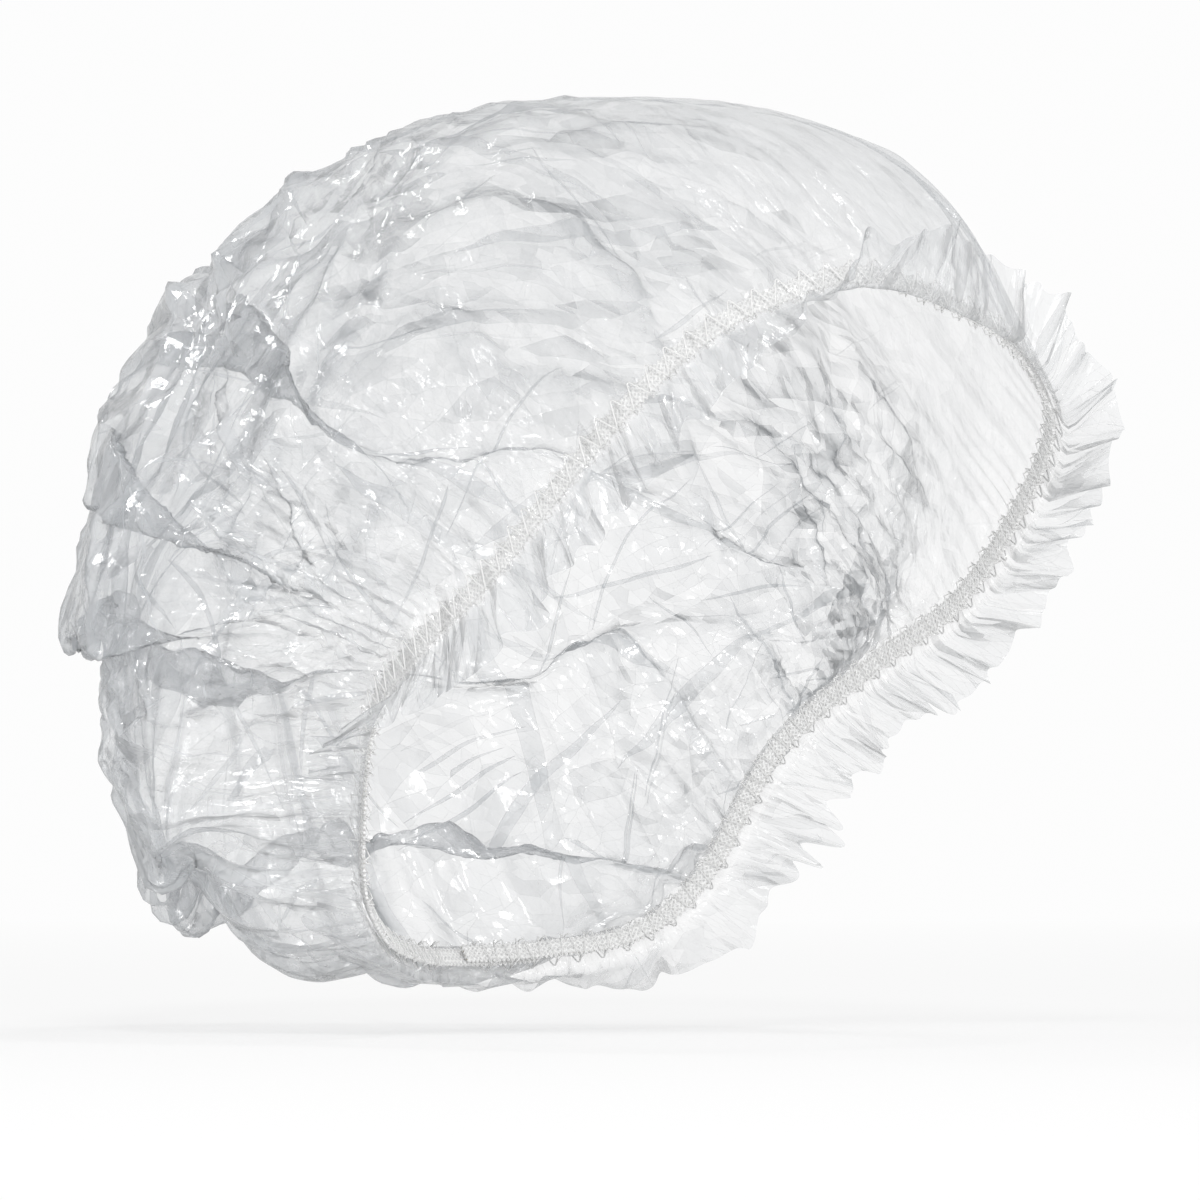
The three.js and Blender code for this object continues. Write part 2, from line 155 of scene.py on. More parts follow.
# How far the frill is turned up, from 0 forward to 1 folded back over the film.
TURN_SHARES = np.array([
    0.75, 0.7, 0.5, 0.35, 0.3, 0.4, 0.5, 0.62, 0.75, 0.86,
    0.88, 0.7, 0.3, 0.12, 0.1, 0.12, 0.35, 0.7, 0.8, 0.8,
])
FRILL_TURN = math.radians(165)
FRILL_SWAY = math.radians(12)
FRILL_ROLL = 1.8
FRILL_RAGGED = 0.07
FRILL_ROWS = 8
SEAM_ROWS = 4

# Room between pieces, the film's overhang beside the elastic and height on it, the lap of the elastic's ends
# and the gap in the stitches there.
CLEARANCE = 0.3
OVERHANG = 1.6
FILM_REST = 0.35
LAP = 21.0
SEAM_GAP = 9.0
# The solid film's wall under the needle thread, and how far stitches pass the elastic's edge.
FILM_WALL = 0.8
STITCH_PAST = 0.7

# Elastic: points across a face, depth of the loops along its edges, how far their feet and middles lie
# inside its width, and heights of its ribs and of the yarn's twist.
ELASTIC_POINTS = 9
LOOP_DEPTH = 0.75
LOOP_FEET = 0.6
LOOP_MIDDLE = 0.25
RIB_HEIGHT = 0.09
TWIST_HEIGHT = 0.07
STRANDS = 4
STRAND_SIDES = 10
STRAND_STEP = 1.5

# The film's mesh leaves out more columns as its rows get shorter.
WIDEST_STRIDE = 64
STRIDE_RADIUS = 300.0
# The flat disc fills its map but for a narrow edge.
MAP_MARGIN = 1.02

# Marks on the film, as turn, length and width of a cell: bright ribbons and sharp creases, where most cells
# are left out, and flat facets with the height of their lean and the strength of their painted shade,
# which makes each facet a little more or less see-through as if it caught the light its own way.
RIBBONS = ((0.3, 70.0, 4.5), (1.4, 50.0, 3.5), (2.4, 60.0, 4.0))
RIBBON_LEAST = 0.88
CREASES = ((0.9, 26.0, 0.8), (2.0, 20.0, 0.7), (2.9, 30.0, 0.7))
CREASE_LEAST = 0.9
FACETS = ((0.6, 34.0, 12.0, 2.4, 0.14), (2.1, 15.0, 5.0, 1.4, 0.16), (1.2, 7.0, 2.4, 0.5, 0.1))

# Stage in metres. Lamps: name, place, size and share of the key lamp's power.
LAMPS = (
    ("key", (-1.5, -1.5, 1.5), 0.35, 1.0),
    ("fill", (1.3, -1.6, 0.6), 1.0, 0.3),
    ("back", (-0.2, 1.8, 1.2), 0.3, 0.15),
    ("side", (-2.0, 0.5, 0.5), 0.25, 0.3),
    ("low", (-1.6, -1.0, -0.05), 0.2, 0.12),
    ("front", (-1.0, -2.2, 0.3), 0.5, 0.35),
    ("top", (0.3, -0.2, 2.1), 0.3, 0.3),
)
LAMP_TARGET = (0.0, 0.03, 0.0)
AMBIENT = 0.52
FLOOR_HEIGHT = -0.101
FLOOR_RADIUS = 60.0
# Near the cap this much of what the camera sees of the floor is glow, and the rest its own light and shadow.
FLOOR_GLOW = 0.62
# The camera is level, turned from the front towards -X, and its frame is this wide at the cap.
CAMERA_TURN = math.radians(42)
CAMERA_TARGET = (-0.0202, 0.0182, 0.0065)
FRAME_WIDTH = 0.2927
SENSOR_WIDTH = 36.0


class FilmSettings(bpy.types.PropertyGroup):
    disc: FloatProperty(name="Disc", description="Across the flat film disc", default=0.54, unit="LENGTH")
    frill: FloatProperty(name="Frill", description="Free film beyond the seam", default=0.018, unit="LENGTH")
    fold_depth: FloatProperty(name="Folds", description="Depth of the folds", default=0.0085, unit="LENGTH")
    lobe_depth: FloatProperty(name="Billows", description="Depth of a billow", default=0.007, unit="LENGTH")
    columns: IntProperty(name="Columns", description="Points round the frill, a power of two", default=2048)
    row_step: FloatProperty(name="Row step", description="Film between rows", default=0.0022, unit="LENGTH")
    # The film's haze is white; its tint is set darker, a painted shade for the light that clear film turns
    # away from a white background.
    haze_and_shade_tint: FloatVectorProperty(
        name="Tint", description="Colour of the film", default=(0.53, 0.555, 0.58), subtype="COLOR",
    )


class ElasticSettings(bpy.types.PropertyGroup):
    width: FloatProperty(name="Width", description="Width of the elastic", default=0.005, unit="LENGTH")
    thickness: FloatProperty(name="Thickness", description="Of the elastic", default=0.0014, unit="LENGTH")
    tooth: FloatProperty(name="Tooth", description="Pitch of the edge loops", default=0.0013, unit="LENGTH")
    strand: FloatProperty(name="Strand", description="Across one strand", default=0.0005, unit="LENGTH")
    strand_pitch: FloatProperty(
        name="Strand pitch", description="Between two strands", default=0.00115, unit="LENGTH",
    )
    yarn: FloatVectorProperty(
        name="Yarn", description="Colour of the yarn", default=(0.97, 0.97, 0.965), subtype="COLOR",
    )
    rubber: FloatVectorProperty(
        name="Rubber", description="Colour of the rubber", default=(0.72, 0.62, 0.42), subtype="COLOR",
    )


class SeamSettings(bpy.types.PropertyGroup):
    thread: FloatProperty(name="Thread", description="Across the thread", default=0.0004, unit="LENGTH")
    pitch: FloatProperty(name="Pitch", description="Length of one zigzag", default=0.006, unit="LENGTH")
    colour: FloatVectorProperty(
        name="Colour", description="Colour of the thread", default=(0.86, 0.86, 0.855), subtype="COLOR",
    )


class StageSettings(bpy.types.PropertyGroup):
    floor: FloatVectorProperty(
        name="Floor", description="Colour of the floor", default=(0.93, 0.93, 0.93), subtype="COLOR",
    )
    paleness: FloatProperty(name="Background", description="Brightness of the background", default=0.98)
    key: FloatProperty(name="Key lamp", description="Power of the key lamp in watts", default=20.0)
    distance: FloatProperty(name="Camera distance", description="Camera to cap", default=4.0, unit="LENGTH")


def roundtable(table, turns):
    """Smooth values from a closed table at places given in turns."""
    count = len(table)
    place = (turns - np.floor(turns)) * count
    first = np.floor(place).astype(int)
    rest = place - first
    before, here, after, later = (table[(first + step) % count] for step in (-1, 0, 1, 2))
    if table.ndim > 1:
        rest = rest[..., None]
    slope_in, slope_out, jump = (after - before) / 2, (later - here) / 2, after - here
    square = 3 * jump - 2 * slope_in - slope_out
    return here + rest * (slope_in + rest * (square + rest * (slope_in + slope_out - 2 * jump)))


def unit(vectors):
    """Vectors of length one in the same directions."""
    return vectors / np.linalg.norm(vectors, axis=-1, keepdims=True)


def mix(first, second, share):
    """Value on the way from the first to the second."""
    return first + (second - first) * share


def smooth(x):
    """From 0 to 1 without a corner as x goes from 0 to 1."""
    x = np.clip(x, 0, 1)
    return x * x * (3 - 2 * x)


def turned_towards(first, second, share):
    """Directions at shares of the angle from each of the first to the one second."""
    angle = np.arccos(np.clip(first @ second, -1, 1))
    turned = np.sin((1 - share) * angle)[..., None] * first + np.sin(share * angle)[..., None] * second
    return turned / np.sin(angle)[:, None]


def triangle_wave(phase):
    """From -1 to 1 and back once in a turn of phase."""
    return 1 - 4 * np.abs(phase - np.floor(phase) - 0.5)


def soft_wave(phase):
    """Round wave from -1 to 1, once in a turn of phase."""
    return np.sin(TAU * phase)


def scatter(i, j, seed):
    """A number from -1 to 1 for each corner of a lattice, the same in each run."""
    value = np.sin(i * 127.1 + j * 311.7 + seed * 74.7) * 43758.5453
    return 2 * (value - np.floor(value)) - 1


def facets(x, y, cell, seed):
    """Flat facets between scattered heights on a lattice of triangles."""
    x, y = x / cell, y / cell
    skew = (x + y) * 0.366025
    a, b = x + skew, y + skew
    i, j = np.floor(a), np.floor(b)
    a, b = a - i, b - j
    near, far = scatter(i, j, seed), scatter(i + 1, j + 1, seed)
    lower = (1 - a) * near + (a - b) * scatter(i + 1, j, seed) + b * far
    upper = (1 - b) * near + (b - a) * scatter(i, j + 1, seed) + a * far
    return np.where(a >= b, lower, upper)


def soft_noise(x, y, cell, seed):
    """Rounded heights between scattered numbers on a square lattice."""
    x, y = x / cell, y / cell
    i, j = np.floor(x), np.floor(y)
    a, b = smooth(x - i), smooth(y - j)
    low = mix(scatter(i, j, seed), scatter(i + 1, j, seed), a)
    high = mix(scatter(i, j + 1, seed), scatter(i + 1, j + 1, seed), a)
    return mix(low, high, b)


RIM_POINTS = RIM_SHARES * RIM_HALF + np.array([0, RIM_SHIFT, 0])
FINE_TURNS = np.arange(8193) / 8192
FINE_LENGTHS = np.concatenate(
    [[0], np.cumsum(np.linalg.norm(np.diff(roundtable(RIM_POINTS, FINE_TURNS), axis=0), axis=1))]
)
RIM_LENGTH = FINE_LENGTHS[-1]


def turns_at(lengths):
    """The curve's own turns at lengths measured along the rim."""
    return np.interp(lengths % RIM_LENGTH, FINE_LENGTHS, FINE_TURNS)


def rim_frame(turns):
    """Point, way along, way out and way to the crown, for each place on the rim."""
    point = roundtable(RIM_POINTS, turns)
    along = unit(roundtable(RIM_POINTS, turns + 0.0005) - roundtable(RIM_POINTS, turns - 0.0005))
    out = unit((point - np.array([0, RIM_SHIFT, RIM_SHIFT])) / SEAT_HALF ** 2)
    out = unit(out - along * (out * along).sum(-1, keepdims=True))
    return point, along, out, np.cross(along, out)


def lap_lift(lengths, thickness):
    """The elastic climbs over its own first end as it comes round."""
    return np.clip((lengths - (RIM_LENGTH - LAP)) / LAP, 0, 1) * thickness


def film_lift(lengths, thickness):
    """The film stays up over the doubled elastic and comes down beyond it."""
    down = 1 - np.clip((lengths - LAP) / LAP, 0, 1)
    return np.maximum(lap_lift(lengths, thickness), np.where(lengths < 2 * LAP, down * thickness, 0))


def billows(across, turns, backness):
    """How far the billows stand out and, in turns, hang over at places on the form."""
    side = np.clip(4 * across, -1, 1)
    far = (1 + side) / 2
    swell = 0
    shift = 0
    for lobe, (beside, behind, rise) in enumerate(zip(LOBE_SIDE, LOBE_BACK, NEAR_RISE)):
        wander = mix(WANDER_NEAR, WANDER_FAR, far) * np.sin(9 * backness + 2.1 * lobe + 1.3 * side) * backness
        offset = turns - mix(beside, behind + rise * (1 - far), backness) - wander
        swell = swell + np.clip(offset / LOBE_STEP, -1, 1) * np.exp(-np.abs(offset) / LOBE_FADE)
        core = offset / LOBE_FOLD
        fullness = 0.62 + 0.38 * soft_noise(across * 7, 5.3 * lobe, 1.0, 91)
        shift = shift - core * np.exp(0.5 - core * core / 2) * fullness
    return swell * mix(SWELL_NEAR, SWELL_FAR, far) * backness, shift * mix(HANG_NEAR, HANG_FAR, far)


def film_form(direction, extra, lobe_depth, freedom):
    """Point of the full form in a direction from the fan's middle, its turns and its share behind."""
    across, flat = direction[..., 0], np.hypot(direction[..., 1], direction[..., 2])
    turns = np.arctan2(direction[..., 2], direction[..., 1]) / TAU
    reach = REACH_BEHIND * roundtable(REACH_SHARES, turns)
    rear = 0.5 + 0.5 * np.cos(np.clip(np.abs(turns) * 2.5 * math.pi, 0, math.pi))
    power = FORM_POWER + REAR_POWER * rear
    fullness = (np.abs(across) / REACH_BESIDE) ** power + (flat / reach) ** power
    distance = fullness ** (-1 / power)
    backness = np.clip(flat * distance / reach, 0, 1)
    swell, shift = billows(across, turns, backness)
    distance = distance + swell * lobe_depth + extra
    hung = TAU * (turns + shift * freedom * smooth((backness - 0.14) * 2.4))
    beside = across * distance * (1 + REAR_WIDENING * rear * 4 * backness * (1 - backness))
    point = np.stack([beside, flat * distance * np.cos(hung), flat * distance * np.sin(hung)], -1)
    return point + FAN_CENTRE, turns, backness


class Film:
    """Rows of points round the cap, from the frill's free edge to the pole."""

    def __init__(self, settings, elastic):
        self.step = settings.row_step / MM
        self.frill = settings.frill / MM
        self.fold_depth = settings.fold_depth / MM
        self.lobe_depth = settings.lobe_depth / MM
        self.radius = settings.disc / MM / 2 - self.frill
        self.edge = elastic.width / MM / 2 + OVERHANG
        self.share = np.arange(settings.columns) / settings.columns
        lengths = self.share * RIM_LENGTH
        self.turns = turns_at(lengths)
        self.point, self.along, self.out, self.crown = rim_frame(self.turns)
        lift = elastic.thickness / MM + CLEARANCE
        self.base = lift + film_lift(lengths, lift) + FILM_REST

    def place(self, crownward, outward):
        """Points beside the rim by so much to the crown and outwards."""
        return self.point + self.crown * np.asarray(crownward)[..., None] + self.out * outward[:, None]

    def disc_place(self, reach):
        """Places on the flat disc at a reach from its middle."""
        return reach * np.cos(TAU * self.share), reach * np.sin(TAU * self.share)

    def waves(self, spec, form=triangle_wave, wander=0.7):
        """Waves round the rim with uneven spacing and strength."""
        height = 0
        for count, depth, seed in spec:
            table = np.random.default_rng(seed).uniform(-wander, wander, 32)
            uneven = np.random.default_rng(seed + 1).uniform(-1, 1, 61)
            strength = 0.6 + 0.6 * roundtable(uneven, self.share)
            height = height + depth * strength * form(count * self.share + roundtable(table, self.share))
        return height

    def frill_rows(self):
        """Free frill, from its cut edge to the seam."""
        turned = roundtable(TURN_SHARES, self.turns)
        laid = smooth((turned - 0.72) / 0.14)
        sway = self.waves(FRILL_SWAYS, soft_wave) * (1 - 0.7 * laid)
        turned = FRILL_TURN * turned * (1 + 0.12 * laid) + FRILL_SWAY * sway
        ruffle = self.waves(FRILL_RUFFLES, soft_wave, 1.3) * (1 - 0.6 * laid)
        drift = self.waves(FRILL_DRIFTS, soft_wave)
        ragged = (1 + 0.2 * laid) * (1 + FRILL_RAGGED * self.waves(FRILL_EDGES, soft_wave))
        rows = []
        for row in range(FRILL_ROWS):
            reach = self.frill * (1 - row / FRILL_ROWS) * ragged
            bent = np.minimum(reach / FRILL_ROLL, turned)
            straight = np.maximum(reach - FRILL_ROLL * turned, 0)
            free = (reach / self.frill) ** 1.3
            x, y = self.disc_place(self.radius + reach)
            lift = ruffle + sum(depth * facets(x, y, cell, seed) for cell, depth, seed in FRILL_CRUMPLES)
            down = FRILL_ROLL * np.sin(bent) + straight * np.cos(turned) + lift * np.sin(turned) * free
            up = FRILL_ROLL * (1 - np.cos(bent)) + straight * np.sin(turned) + lift * np.cos(turned) * free
            point = self.place(-self.edge - down, self.base + np.maximum(up, -0.6 * free))
            rows.append(point + self.along * (drift * free)[:, None])
        return rows

    def seam_rows(self):
        """Gathers pressed on the elastic by the stitches."""
        gathers = self.waves(SEAM_GATHERS)
        rows = []
        for side in 2 * np.arange(SEAM_ROWS) / SEAM_ROWS - 1:
            height = self.base + 0.25 + gathers * (0.55 + 0.45 * abs(side))
            rows.append(self.place(side * self.edge, height))
        return rows

    def body_rows(self):
        """Film from the seam to the pole, full behind and tight over the front."""
        from_centre = self.place(self.edge, self.base) - FAN_CENTRE
        count = int(self.radius / self.step)
        share = (np.arange(count) / count)[:, None]
        direction = turned_towards(unit(from_centre), unit(POLE - FAN_CENTRE), share)
        loose = LOOSE_MIDDLE + LOOSE_BEHIND * direction[..., 1] - TIGHT_ABOVE * direction[..., 2]
        self.loose = np.clip(loose, LOOSE_LEAST, 1)
        wave = 0
        for item, (folds, strength, phase) in enumerate(FOLDS):
            wave = wave + strength * np.sin(TAU * (folds * self.turns + phase + share * item / 4))
        extra = self.fold_depth * wave * self.loose * np.sin(math.pi * np.sqrt(share))
        freedom = smooth((share * self.radius - HANG_FROM) / HANG_OVER)
        full, fan, backness = film_form(direction, extra, self.lobe_depth, freedom)
        near = direction * np.linalg.norm(from_centre, axis=1)[:, None] + FAN_CENTRE
        form = mix(near, full, (1 - (1 - np.clip(share / FULL_AT, 0, 1)) ** 2)[..., None])
        height = self.relief(share, fan, backness, smooth(0.5 + 2 * direction[..., 0]))
        return form + self.normals(form) * height[..., None]

    def normals(self, form):
        """Outward directions of the rows' surface."""
        normal = np.cross(np.gradient(form, axis=0), np.roll(form, -1, 1) - np.roll(form, 1, 1))
        return normal / np.maximum(np.linalg.norm(normal, axis=-1, keepdims=True), 1e-9)

    def relief(self, share, fan, backness, far):
        """Height of pleats, crumples, strips and tension folds above the form."""
        away = share * self.radius
        x, y = self.disc_place(self.radius - away)
        tense = np.exp(-((fan - TENSION_TURN) / TENSION_WIDTH) ** 2) * smooth((0.75 - backness) / 0.5)
        height = self.pleats(share, x, y) * (1 - 0.5 * far * tense)
        height = height + self.crumples(away, x, y) * (1 - 0.9 * tense)
        height = height + self.strips(x, y) * smooth(away / SEAM_CALM)
        height = height + self.tension(fan, backness) * tense * (1 - 0.5 * far) * smooth(away / SEAM_CALM)
        return height * smooth((self.radius - away) / POLE_CALM)

    def pleats(self, share, x, y):
        """Pleats that spring from the seam and fade before the pole."""
        away = share * self.radius
        height = 0
        for count, rise, fade, depth in PLEATS:
            rng = np.random.default_rng(count)
            phase = count * self.share + roundtable(rng.uniform(-0.8, 0.8, max(9, count // 3)), self.share)
            phase = phase + 0.8 * roundtable(rng.uniform(-1, 1, 17), self.share) * share
            phase = phase + 0.35 * soft_noise(x, y, 48.0, count) * smooth(away / 40)
            strength = 0.5 + 0.7 * roundtable(rng.uniform(-1, 1, 2 * count // 3), self.share)
            strength = strength * (0.7 + 0.6 * soft_noise(x, y, 36.0, count + 1))
            hold = self.loose if count < 60 else 0.4 + 0.6 * self.loose
            span = smooth(away / rise) * np.exp(-(away / fade) ** 2)
            height = height + depth * strength * hold * span * triangle_wave(phase)
        return height * smooth((self.radius - away) / PLEAT_POLE_CALM)

    def crumples(self, away, x, y):
        """Facets of several sizes, low beside the seam and on tight film."""
        warp_x, warp_y = soft_noise(x, y, 30.0, 51), soft_noise(x, y, 30.0, 52)
        height = 0
        for item, (cell, depth) in enumerate(CRUMPLES):
            bend = cell * 0.15 * (item > 0)
            height = height + depth * facets(x + warp_x * bend, y + warp_y * bend, cell, item)
        spread = (0.3 + 0.7 * smooth(away / CRUMPLE_SPREAD)) * smooth(away / CRUMPLE_CALM)
        return height * (0.08 + 0.92 * self.loose) * spread

    def tension(self, fan, backness):
        """Folds that run together beside the fan's middle."""
        height = 0
        for count, depth in TENSION:
            phase = count * fan + 1.5 * soft_noise(fan * 40, backness * 2, 1.0, count)
            height = height + depth * triangle_wave(phase)
        return height * smooth(backness * 2.2)

    def strips(self, x, y):
        """Film folded over itself in straight strips."""
        rng = np.random.default_rng(77)
        height = 0
        self.folded = np.zeros_like(x)
        for _ in range(STRIPS):
            turn = rng.uniform(0, TAU)
            reach = self.radius * rng.uniform(*STRIP_PLACES)
            lean = turn + rng.normal(0, STRIP_LEAN)
            half, width = rng.uniform(*STRIP_LENGTHS) / 2, rng.uniform(*STRIP_WIDTHS)
            dx, dy = x - reach * math.cos(turn), y - reach * math.sin(turn)
            along = dx * math.cos(lean) + dy * math.sin(lean)
            across = dy * math.cos(lean) - dx * math.sin(lean)
            taper = np.clip((half - np.abs(along)) / (0.5 * half), 0, 1)
            wide = np.maximum(width * (0.35 + 0.65 * taper), 1.0)
            inside = smooth(across / STRIP_EDGE + 0.5) * smooth((wide - across) / STRIP_EDGE + 0.5)
            inside = inside * smooth(taper * 3)
            height = height + inside * mix(*STRIP_HEIGHTS, np.clip(across / wide, 0, 1))
            self.folded = np.maximum(self.folded, inside * self.loose)
        return height * self.loose


def mesh_object(name, points, faces, uvs=None, marks=None):
    """A smooth mesh object from points, with map places and marks for each of them."""
    mesh = bpy.data.meshes.new(name)
    mesh.from_pydata((np.asarray(points) * MM).tolist(), [], faces)
    mesh.polygons.foreach_set("use_smooth", np.ones(len(mesh.polygons), bool))
    if uvs is not None:
        layer = mesh.uv_layers.new(name="UVMap")
        corners = np.empty(len(mesh.loops), np.int32)
        mesh.loops.foreach_get("vertex_index", corners)
        layer.data.foreach_set("uv", np.asarray(uvs, np.float32)[corners].ravel())
    for mark, values in (marks or {}).items():
        layer = mesh.attributes.new(mark, "FLOAT", "POINT")
        layer.data.foreach_set("value", np.asarray(values, np.float32))
    mesh.update()
    obj = bpy.data.objects.new(name, mesh)
    bpy.context.collection.objects.link(obj)
    return obj


def ring_faces(a, b):
    """Faces between two closed rows of points: the second is as long, half as long or one point."""
    after, beyond = np.roll(a, -1), np.roll(b, -1)
    if len(b) == 1:
        return np.stack([a, after, np.full(len(a), b[0])], 1).tolist()
    if len(a) == len(b):
        return np.stack([a, after, beyond, b], 1).tolist()
    first, middle, last = a[0::2], a[1::2], after[1::2]
    faces = np.stack([first, middle, b], 1).tolist()
    faces += np.stack([middle, beyond, b], 1).tolist()
    faces += np.stack([middle, last, beyond], 1).tolist()
    return faces


class DiscMesh:
    """Closed rows of points with places on the disc and marks, joined to one mesh."""

    def __init__(self, size):
        self.size = size
        self.points, self.maps, self.numbers = [], [], []
        self.marks = {"gather": [], "folded": [], "loose": []}
        self.total = 0

    def row(self, points, reach, turns, **marks):
        """Add points that lie at this reach and these turns on the disc."""
        angle = TAU * turns
        self.points.append(points)
        self.numbers.append(self.total + np.arange(len(points)))
        self.total += len(points)
        self.maps.append(0.5 + reach * np.stack([np.cos(angle), np.sin(angle)], 1) / self.size)
        for name, value in marks.items():
            self.marks[name].append(np.broadcast_to(value, len(points)))

    def finish(self, name):
        """The mesh object, with faces between rows."""
        faces = []
        for a, b in zip(self.numbers, self.numbers[1:]):
            faces += ring_faces(a, b)
        marks = {mark: np.concatenate(values) for mark, values in self.marks.items()}
        return mesh_object(name, np.concatenate(self.points), faces, np.concatenate(self.maps), marks)


def next_stride(stride, reach):
    """How many of the frill's columns make one at this reach on the disc."""
    wanted = 2
    while wanted < WIDEST_STRIDE and reach < STRIDE_RADIUS / wanted:
        wanted *= 2
    return max(stride, min(wanted, stride * 2))


def build_film(settings, elastic):
    """The one film sheet, from frill to pole."""
    film = Film(settings, elastic)
    body = film.body_rows()
    edge = film.frill_rows() + film.seam_rows()
    sheet = DiscMesh(MAP_MARGIN * 2 * (film.radius + film.frill))
    for item, row in enumerate(edge):
        reach = film.radius + film.frill * (1 - (item + 1) / len(edge)) * 0.98 + 0.5
        gather = 0.35 if item < FRILL_ROWS else 1.0
        sheet.row(row, reach, film.share, gather=gather, folded=0.0, loose=0.8)
    stride = 1
    for item, row in enumerate(body):
        reach = film.radius * (1 - item / len(body))
        if item:
            stride = next_stride(stride, reach)
        folded, loose = film.folded[item][::stride], film.loose[item][::stride]
        gather = math.exp(-item * film.step / 22.0)
        sheet.row(row[::stride], reach, film.share[::stride], gather=gather, folded=folded, loose=loose)
    sheet.row(sheet.points[-1].mean(0)[None], 0.0, np.zeros(1), gather=0.0, folded=0.0, loose=loose[:1])
    return sheet.finish("film")


class Socket:
    """A shader socket that takes part in Python sums."""

    def __init__(self, nodes, link):
        self.nodes, self.link = nodes, link

    def out(self, name):
        """Another output of the same node."""
        return Socket(self.nodes, self.link.node.outputs[name])

    def __add__(self, other):
        return self.nodes.math("ADD", self, other)

    def __mul__(self, other):
        return self.nodes.math("MULTIPLY", self, other)

    def __sub__(self, other):
        return self.nodes.math("SUBTRACT", self, other)

    def __rsub__(self, other):
        return self.nodes.math("SUBTRACT", other, self)

    def __pow__(self, other):
        return self.nodes.math("POWER", self, other)

    __radd__ = __add__
    __rmul__ = __mul__


class Nodes:
    """Adds nodes to a new material or world."""

    def __init__(self, owner):
        owner.use_nodes = True
        self.owner = owner
        self.tree = owner.node_tree

    def add(self, kind, settings, values, out=0):
        """A node of a kind: settings first, then the values or links of its sockets."""
        node = self.tree.nodes.new(kind)
        for name, value in settings.items():
            if name == "stops":
                self.stops(node.color_ramp.elements, value)
            else:
                setattr(node, name, value)
        pairs = values.items() if isinstance(values, dict) else enumerate(values)
        for key, value in pairs:
            self.feed(node.inputs[key], value)
        return Socket(self, node.outputs[out])

    def stops(self, elements, stops):
        """Grey stops of a colour ramp, as place and value."""
        while len(elements) < len(stops):
            elements.new(0.5)
        for element, (place, value) in zip(elements, stops):
            element.position = place
            element.color = (value, value, value, 1)

    def feed(self, socket, value):
        """Link a socket, or set its value."""
        if isinstance(value, Socket):
            self.tree.links.new(value.link, socket)
        else:
            socket.default_value = value

    def set(self, node, **values):
        """Feed sockets of a node that the tree starts with, named with underscores."""
        for name, value in values.items():
            self.feed(self.tree.nodes[node].inputs[name.replace("_", " ")], value)

    def math(self, operation, *values):
        return self.add("ShaderNodeMath", {"operation": operation}, values)

    def blend(self, share, first, second):
        """Colour on the way from the first to the second."""
        return self.add("ShaderNodeMix", {"data_type": "RGBA"}, {0: share, 6: first, 7: second}, 2)

    def bump(self, strength, distance, height):
        values = {"Strength": strength, "Distance": distance, "Height": height}
        return self.add("ShaderNodeBump", {}, values, "Normal")

    def ramp(self, value, stops):
        return self.add("ShaderNodeValToRGB", {"stops": stops}, [value])


def opaque(colour, share=1.0):
    """A colour, or a share of it, with its alpha."""
    return (*(part * share for part in colour), 1)


def total(sockets):
    """Sum of sockets."""
    return reduce(add, sockets)


class FilmNodes(Nodes):
    """Creases of the film, laid out on its flat disc."""

    def __init__(self, owner, size):
        super().__init__(owner)
        self.size = size
        self.place = self.add("ShaderNodeTexCoord", {}, [], "UV")
        wander = self.noise(40.0, 2.0, "Color")
        self.bent = self.vector("MULTIPLY_ADD", wander, (0.012, 0.012, 0.0), self.place)

    def vector(self, operation, *values, out="Vector"):
        return self.add("ShaderNodeVectorMath", {"operation": operation}, values, out)

    def noise(self, pitch, detail, out="Fac"):
        """Noise with a pitch in millimetres of flat film."""
        values = {"Vector": self.place, "Scale": self.size / pitch, "Detail": detail}
        return self.add("ShaderNodeTexNoise", {}, values, out)

    def mark(self, name):
        """A mark of the film's mesh."""
        return self.add("ShaderNodeAttribute", {"attribute_name": name}, [], "Fac")

    def shards(self, turn, length, width):
        """Cells drawn out one way: their coordinates and colours."""
        drawn = (length / self.size, width / self.size, 1)
        values = {"Vector": self.bent, "Rotation": (0, 0, turn), "Scale": drawn}
        long = self.add("ShaderNodeMapping", {"vector_type": "TEXTURE"}, values)
        values = {"Vector": long, "Scale": 1.0}
        return long, self.add("ShaderNodeTexVoronoi", {"voronoi_dimensions": "2D"}, values, "Color")

    def facet(self, turn, length, width, depth, shade):
        """Height and painted shade of flat facets that each lean their own way."""
        long, colour = self.shards(turn, length, width)
        lean = self.vector("SUBTRACT", colour, (0.5, 0.5, 0.5))
        away = self.vector("SUBTRACT", long, colour.out("Position"))
        return self.vector("DOT_PRODUCT", lean, away, out="Value") * depth, (colour - 0.5) * shade

    def streaks(self, turn, length, width, least):
        """A few of the long narrow cells."""
        colour = self.shards(turn, length, width)[1]
        return self.ramp(colour, ((least, 0.0), (least + 0.015, 1.0)))


